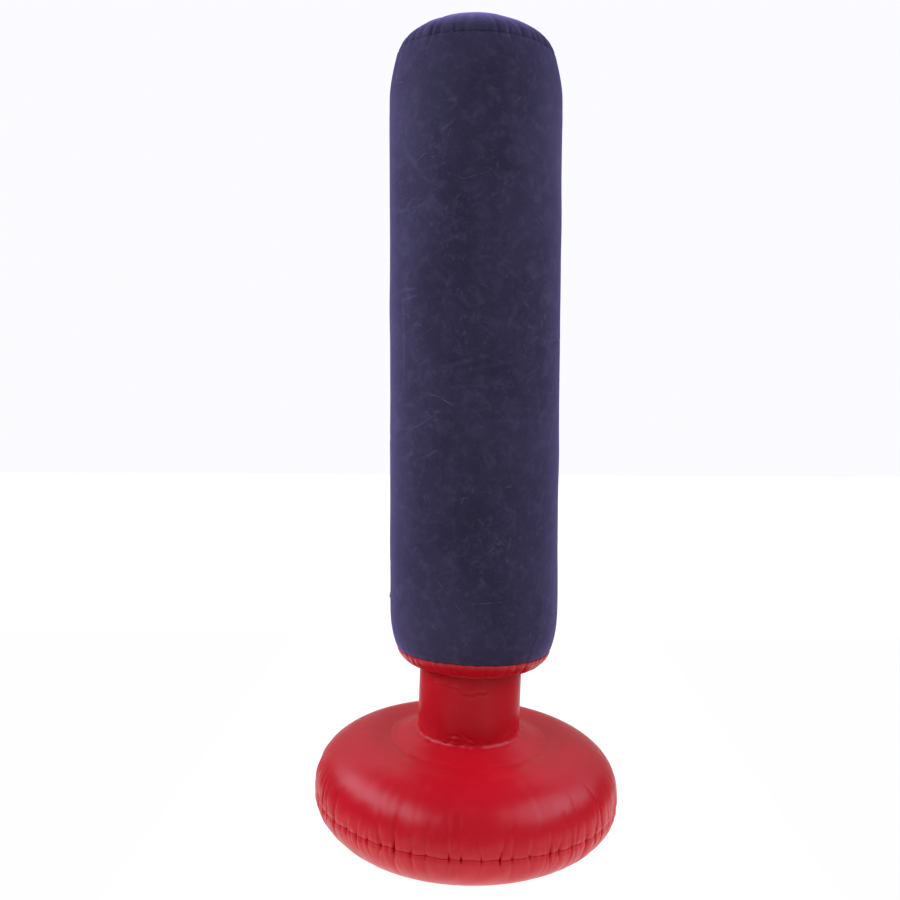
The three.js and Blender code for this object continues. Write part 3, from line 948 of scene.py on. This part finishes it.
NECK_FOLDS = [
    ([(-52, 0.341), (-38, 0.343), (-26, 0.340)], 0.0012, 0.0024),
    ([(-24, 0.337), (-12, 0.335)], 0.0010, 0.0022),
    ([(-8, 0.327), (0, 0.324), (10, 0.328)], 0.0015, 0.0022),
    ([(8, 0.331), (14, 0.326), (19, 0.329)], 0.0010, 0.0020),
    ([(-26, 0.243), (-12, 0.246), (-4, 0.240)], 0.0014, 0.0022),
    ([(-8, 0.252), (0, 0.242), (8, 0.238)], 0.0016, 0.0022),
    ([(-34, 0.237), (-20, 0.235), (-6, 0.236)], 0.0010, 0.0020),
    ([(40, 0.243), (58, 0.248)], 0.0010, 0.0030),
    ([(150, 0.244), (176, 0.238)], 0.0013, 0.0030),
    ([(214, 0.335), (240, 0.331)], 0.0011, 0.0030),
]


def neck_relief(azimuth, s, r, z):
    foot, head = z - NECK_FOOT, NECK_HEAD - z
    out = pleated(azimuth, foot, r, pleat_set(34, 91), depth=0.0012, width=0.003, fan=0.10,
                  length=0.018, puff=0.0008, puff_at=0.012)
    out = out + pleated(azimuth, head, r, pleat_set(30, 92), depth=0.001, width=0.003, fan=0.1,
                        length=0.016, puff=0.0008, puff_at=0.01)
    out = out + 0.0007 * ripple(azimuth + 4 * z, 93, 2, 7)
    near_front = bell(wrap(azimuth + math.radians(8)), 0.45)
    out = out + 0.0008 * near_front * bell(foot - 0.012, 0.010) * ripple(azimuth, 94, 22, 40)
    for line, depth, width in NECK_FOLDS:
        out = out + ridge(azimuth, z, line, depth, width, NECK_R)
    return out, 0 * out


def make_neck():
    seam = NECK_MIDDLE + 0.0005
    upper = floats([(NECK_R, z) for z in np.linspace(NECK_HEAD, seam, 60)])
    lower = floats([(NECK_R, z) for z in np.linspace(seam, NECK_FOOT, 60)])
    spacing = even(0.0025)
    sleeves = [
        ("neck_upper_sleeve", upper, ("neck", "column"), (seam + 0.0015, NECK_HEAD - 0.003)),
        ("neck_lower_sleeve", lower, ("base", "neck"), (NECK_FOOT + 0.003, seam - 0.0015)),
    ]
    for name, path, bodies, ends in sleeves:
        obj = turned_sheet(name, path, 360, spacing, neck_relief, base_lean, skip=2)
        bridging(obj, RED, "neck_tube")

    bead = NECK_R + 0.0004
    rise = 0.0115
    outer = [(DISC_R - t, crown_z(DISC_R - t) + 0.0020) for t in np.linspace(0.0015, 0.04, 12)]
    fillet = [(bead, crown_z(bead) + rise + 0.0012)]
    for t in np.linspace(0, 1, 9):
        turn = t * math.pi / 2
        fillet.append((bead + 0.0072 * (1 - math.cos(turn)),
                       crown_z(bead) + 0.0016 + (rise - 0.0015) * (1 - math.sin(turn))))
    path = floats(fillet + outer[::-1][1:] + [(DISC_R + 0.0004, crown_z(DISC_R) + 0.0002)])

    def relief(azimuth, s, r, z):
        foot = bell(r - bead - 0.002, 0.006)
        out = 0.0007 * foot * ripple(azimuth, 95, 10, 34)
        out = out + 0.0004 * ripple(azimuth, 96, 9, 30) * bell(r - DISC_R, 0.006)
        return out, 0.0006 * ripple(azimuth, 98, 5, 30) * bell(r - DISC_R, 0.01) + 0 * s
    disc = turned_sheet(
        "neck_weld_disc", path, 540, lambda s: 0.0012 + 0.0022 * smooth(s, 0.02, 0.03),
        relief, base_lean, thickness=0.0009,
    )
    placed(disc, RED, "base", "neck_lower_flange")

    def dome(r):
        return BOTTOM_SEAM_Z - GAP - dome_rise(r, BOTTOM_DOME) - 0.0004
    collar = [(r, dome(r)) for r in np.linspace(COLLAR_R, NECK_R + 0.006, 6)]
    for t in np.linspace(0.1, 1, 8):
        turn = t * math.pi / 2
        collar.append((NECK_R + 0.0016 + 0.0044 * (1 - math.sin(turn)),
                       dome(NECK_R + 0.006) - 0.006 * (1 - math.cos(turn)) - 0.001 * t))
    cuff = turned_sheet("neck_top_cuff", floats(collar), 360, even(0.0014),
                        gathers(0.0004, 99, 20, 50), column_lean, thickness=0.0007)
    placed(cuff, RED, "column", "neck_upper_flange")


# ---- water filler ----


def crown_ring(name, inner, outer, low, high, edge):
    """A flat ring that lies on the base's crown round the filler."""
    radii = [inner + (outer - inner) * t for t in np.linspace(0, 1, 10)]
    top = [(r, high) for r in radii]
    top[-1] = (radii[-1], high - edge)
    loop = top + [(r, low) for r in reversed(radii)]
    azimuth = np.arange(120) * TURN / 120
    rings = []
    for r, lift in loop:
        x = r * np.sin(azimuth)
        y = FILLER.y - r * np.cos(azimuth)
        rings.append(np.stack([x, y, crown_z(np.hypot(x, y)) + lift], axis=-1))
    return ringed(name, warped(np.array(rings), base_lean), sharp_deg=50)


def ribbon(name, line, width, thickness, width_axis, place):
    """A flat strap along a line of points in one plane."""
    across = Vector(width_axis)
    w, t = width / 2, thickness / 2
    bevel = 0.0003
    section = [(-w, t - bevel), (-w + bevel, t), (w - bevel, t), (w, t - bevel),
               (w, -t + bevel), (w - bevel, -t), (-w + bevel, -t), (-w, -t + bevel)]
    rings = []
    for i, p in enumerate(line):
        ahead = (line[min(i + 1, len(line) - 1)] - line[max(i - 1, 0)]).normalized()
        up = across.cross(ahead).normalized()
        rings.append([p + across * a + up * b for a, b in section])
    obj = capped(name, np.array(rings), sharp_deg=35)
    obj.data.transform(place)
    return obj


def bent(points, radius):
    """A polyline of 3-D points with its corners rounded."""
    points = [Vector(p) for p in points]
    made = [points[0]]
    for before, p, after in zip(points, points[1:], points[2:]):
        small = min(radius, 0.48 * (p - before).length, 0.48 * (after - p).length)
        a = p + (before - p).normalized() * small
        b = p + (after - p).normalized() * small
        for t in np.linspace(0, 1, 7).tolist():
            made.append((1 - t) ** 2 * a + 2 * t * (1 - t) * p + t**2 * b)
    made.append(points[-1])
    finer = [made[0]]
    for p in made[1:]:
        gap = (p - finer[-1]).length
        for k in range(1, int(gap / 0.0015) + 1):
            finer.append(finer[-1].lerp(p, 1 / (int(gap / 0.0015) + 2 - k)))
        finer.append(p)
    return finer


def joined(name, objects):
    mesh = bpy.data.meshes.new(name)
    work = bmesh.new()
    for obj in objects:
        work.from_mesh(obj.data)
        bpy.data.objects.remove(obj)
    bmesh.ops.recalc_face_normals(work, faces=work.faces)
    for face in work.faces:
        face.smooth = True
    work.to_mesh(mesh)
    work.free()
    mesh.set_sharp_from_angle(angle=math.radians(35))
    return in_scene(name, mesh)


def make_filler():
    at = Matrix.Translation(FILLER)
    patch = crown_ring("filler_weld_patch", 0.0198, 0.0358, 0.0002, 0.0011, 0.0005)
    placed(patch, RED, "base", "base_filler_patch")

    def threads(azimuth, r, z):
        climb = np.sin(TURN * (z / 0.004) + azimuth)
        on = smooth(z, 0.0035, 0.0045) * smooth(0.0105 - z, 0, 0.001) * smooth(r, 0.0182, 0.0186)
        return 1 + 0.022 * on * climb
    side = [(0.0188, z) for z in np.linspace(0.0108, 0.0003, 34)]
    outline = [(0.0162, 0.011), (0.0183, 0.011), *side, (0.0262, 0.0001), (0.0262, -0.0009),
               (0.0161, -0.0009)]
    collar = turned_solid("filler_collar_body", outline, 160, at, threads)
    for v in collar.data.vertices:
        foot = 1 - smooth(v.co.z - FILLER.z, 0.0, 0.006)
        v.co.z += float(foot * (crown_z(math.hypot(v.co.x, v.co.y)) - FILLER.z))
    placed(collar, CLEAR, "base", "filler_collar")

    moulded("filler_check_flap_disc", slab(0, 0.0149, -0.0022, -0.0014), 0.0003, at,
            CLEAR, "filler_check_flap", "filler_flap")
    low, high = (z - FILLER.z for z in heights("filler_gasket"))
    moulded("filler_gasket_ring", slab(0.0156, 0.0192, low, high), 0.0005, at,
            SEAL, "cap", "filler_gasket")

    def grip(azimuth, r, z):
        on = smooth(r, 0.0205, 0.0222) * smooth(z, 0.003, 0.0045) * smooth(0.0145 - z, 0, 0.0015)
        return 1 - 0.042 * on * (0.5 + 0.5 * np.cos(18 * azimuth)) ** 3
    outline = rounded(
        [(0, 0.0141), (0.0125, 0.0141), (0.0140, 0.0150), (0.0230, 0.0150), (0.0230, 0.0030),
         (0.0198, 0.0030), (0.0198, 0.0128), (0, 0.0128)], 0.0011, 5,
    )
    finer = [outline[0]]
    for p in outline[1:]:
        steps = max(int(np.hypot(*(p - finer[-1])) / 0.0012), 1)
        start = finer[-1]
        finer += [start + (p - start) * k / steps for k in range(1, steps + 1)]
    cap = turned_solid("filler_cap_body", finer, 216, at, grip)
    bar = [(0, 0.0152), (0.0104, 0.0152), (0.0110, 0.0139), (0, 0.0139)]
    bar = turned_solid("bar", rounded(bar, 0.0006, 3))
    bar.data.transform(Matrix.Diagonal((1, 0.26, 1, 1)))
    bar.data.transform(at)
    cap = joined("filler_cap_body", [cap, bar])
    placed(cap, CLEAR, "cap", "filler_cap")

    loop = bent([(-0.0212, 0, 0.0017), (-0.0293, 0, 0.0017), (-0.0293, 0, 0.0113),
                 (-0.0245, 0, 0.0113)], 0.003)
    strap = ribbon("strap", loop, 0.007, 0.001, (0, 1, 0), at)
    rings = []
    for inner, outer, low in ((0.0195, 0.0230, 0.0012), (0.0236, 0.0253, 0.0108)):
        section = rounded(slab(inner, outer, low, low + 0.001), 0.0003)
        rings.append(turned_solid("ring", section, 96, at))
    tether = joined("filler_tether_strap", [strap, *rings])
    bridging(tether, CLEAR, "filler_tether")


# ---- column air valve ----

VALVE_AZIMUTH = math.radians(-112.5)
VALVE_Z = 0.477


def make_valve():
    out = Vector((math.sin(VALVE_AZIMUTH), -math.cos(VALVE_AZIMUTH), 0))
    up = Vector((0, 0, 1))
    side = up.cross(out)
    at = Matrix((side, up, out)).transposed().to_4x4()
    at.translation = out * COLUMN_R + up * VALVE_Z

    disc = turned_solid("column_valve_weld_patch",
                        rounded(slab(0.0089, 0.0218, -0.0043, -0.0034), 0.0003))
    for v in disc.data.vertices:
        v.co.z += math.sqrt(COLUMN_R**2 - v.co.x**2) - COLUMN_R + 0.0022
    disc.data.transform(at)
    placed(disc, CLEAR, "column", "column_valve_patch")

    stem = [(0.0048, 0.016), (0.0062, 0.0162), (0.0075, 0.0156), (0.0072, 0.009), (0.0075, 0.0),
            (0.0076, -0.0026), (0.0101, -0.003), (0.0101, -0.004), (0.0048, -0.004)]
    moulded("column_valve_barrel", stem, 0.0006, at, CLEAR, "valve_stem", "column_valve_stem")
    moulded("column_valve_check_flap", slab(0, 0.0062, -0.0049, -0.0043), 0.0002, at,
            CLEAR, "valve_check_flap", "column_valve_flap", around=64)
    plug = [(0, 0.0190), (0.0055, 0.0193), (0.0079, 0.0188), (0.0082, 0.0163), (0.0044, 0.0163),
            (0.0044, 0.006), (0.0044, 0.0), (0.0036, -0.002), (0, -0.002)]
    moulded("column_valve_stopper", plug, 0.0007, at, CLEAR, "valve_plug", "column_valve_plug")

    line = bent([(0, 0.0078, 0.01405), (0, 0.0136, 0.01405), (0, 0.0136, 0.01755),
                 (0, 0.0084, 0.01755)], 0.002)
    strap = ribbon("column_valve_strap_loop", line, 0.005, 0.0009, (1, 0, 0), at)
    bridging(strap, CLEAR, "column_valve_strap")


# ---- the set ----


def flat_material(name, colour, glow=0.0):
    s = Surface(name, Roughness=0.9, Emission_Color=(1, 1, 1, 1), Emission_Strength=glow)
    mottle = s.noise(3.0, 3.0, 0.5)
    darker = tuple(c * 0.97 for c in colour[:3]) + (1,)
    s.wire(s.mix(mottle, darker, colour), "Base Color")
    return s.material


def aimed(obj, place, aim):
    obj.location = place
    obj.rotation_euler = (Vector(aim) - Vector(place)).to_track_quat("-Z", "Y").to_euler()
    return obj


def card(name, size, place, aim, material):
    mesh = bpy.data.meshes.new(name)
    w, h = size[0] / 2, size[1] / 2
    mesh.from_pydata([(-w, -h, 0), (w, -h, 0), (w, h, 0), (-w, h, 0)], [], [(0, 1, 2, 3)])
    obj = in_scene(name, mesh)
    dress(obj, material)
    return aimed(obj, place, aim)


def softbox(name, size, azimuth_deg, rise_deg, distance, radiance):
    """A soft light seen from the base at an azimuth and a height angle, facing it."""
    azimuth, rise = math.radians(azimuth_deg), math.radians(rise_deg)
    level = distance * math.cos(rise)
    place = Vector((level * math.sin(azimuth), -level * math.cos(azimuth),
                    LIT_POINT.z + distance * math.sin(rise)))
    data = bpy.data.lights.new(name, "AREA")
    data.shape = "RECTANGLE"
    data.size, data.size_y = size
    data.energy = radiance * math.pi * size[0] * size[1]
    data.color = STUDIO_WHITE[:3]
    obj = in_scene(name, data)
    obj.visible_camera = False
    return aimed(obj, place, LIT_POINT)


def make_set():
    scene = bpy.context.scene
    scene.view_settings.view_transform = "Standard"
    world = bpy.data.worlds.new("studio")
    world.use_nodes = True
    background = world.node_tree.nodes["Background"].inputs
    background["Color"].default_value = STUDIO_WHITE
    background["Strength"].default_value = WORLD_LIGHT
    scene.world = world

    floor = card("floor", (16, 16), (0, 0, 0), (0, 0, -1),
                 flat_material("pale floor", FLOOR_GREY, FLOOR_GLOW))
    dark = flat_material("dark card", CARD_BLACK)
    front = flat_material("front card", CARD_BLACK, FRONT_GLOW)
    back = flat_material("back card", CARD_BLACK, BACK_GLOW)
    cards = [
        card("back_card", (8.0, 2.6), (0, 3.2, 1.3), (0, 0, 1.3), back),
        card("front_card", (7.0, 3.4), (0, -3.4, 1.7), (0, 0, 1.7), front),
        card("ceiling_card", (7.0, 5.6), (0, -0.6, 3.4), (0, -0.6, 0), dark),
        card("left_card", (6.5, 1.4), (-3.1, 0, 0.75), (0, 0, 0.75), dark),
        card("right_card", (6.5, 1.5), (3.1, 0, 0.8), (0, 0, 0.8), dark),
        card("floor_card", (7.0, 2.6), (0, -2.1, 0.004), (0, -2.1, 1), dark),
        card("left_floor_card", (2.2, 2.4), (-1.75, 0.4, 0.004), (-1.75, 0.4, 1), dark),
        card("right_floor_card", (2.2, 2.4), (1.75, 0.4, 0.004), (1.75, 0.4, 1), dark),
    ]
    for c in cards:
        c.visible_camera = False
    lights = [
        softbox("left_box", (3.8, 1.25), -73, 38, 2.6, LEFT_RADIANCE),
        softbox("right_box", (2.5, 1.9), 76, 38, 2.6, RIGHT_RADIANCE),
    ]


WORLD_LIGHT = 1.0
STUDIO_WHITE = (0.97, 0.97, 1.16, 1)
FLOOR_GREY, CARD_BLACK = (0.12, 0.12, 0.12, 1), (0.02, 0.02, 0.02, 1)
FLOOR_GLOW = 0.985
FRONT_GLOW = 0.16
BACK_GLOW = 0.35
LIT_POINT = Vector((0, 0, 0.3))
LEFT_RADIANCE = 3.45
RIGHT_RADIANCE = 2.4

CAMERA_PLACE = (0.0, -1.9, 0.9048)
CAMERA_YAW, CAMERA_PITCH, CAMERA_ROLL = -0.0247, 0.0651, 0.0030
CAMERA_LENS = 38.77


def make_camera():
    data = bpy.data.cameras.new("camera")
    data.sensor_width = 36
    data.lens = CAMERA_LENS
    obj = in_scene("camera", data)
    cos_pitch = math.cos(CAMERA_PITCH)
    ahead = Vector((math.sin(CAMERA_YAW) * cos_pitch, math.cos(CAMERA_YAW) * cos_pitch,
                    -math.sin(CAMERA_PITCH)))
    right = Vector((math.cos(CAMERA_YAW), -math.sin(CAMERA_YAW), 0))
    up = right.cross(ahead)
    cos_roll, sin_roll = math.cos(CAMERA_ROLL), math.sin(CAMERA_ROLL)
    across = right * cos_roll + up * sin_roll
    above = up * cos_roll - right * sin_roll
    obj.matrix_world = Matrix.Translation(CAMERA_PLACE) @ Matrix(
        (across, above, -ahead)).transposed().to_4x4()
    bpy.context.scene.camera = obj


make_base()
make_column()
make_neck()
make_filler()
make_valve()
make_set()
make_camera()
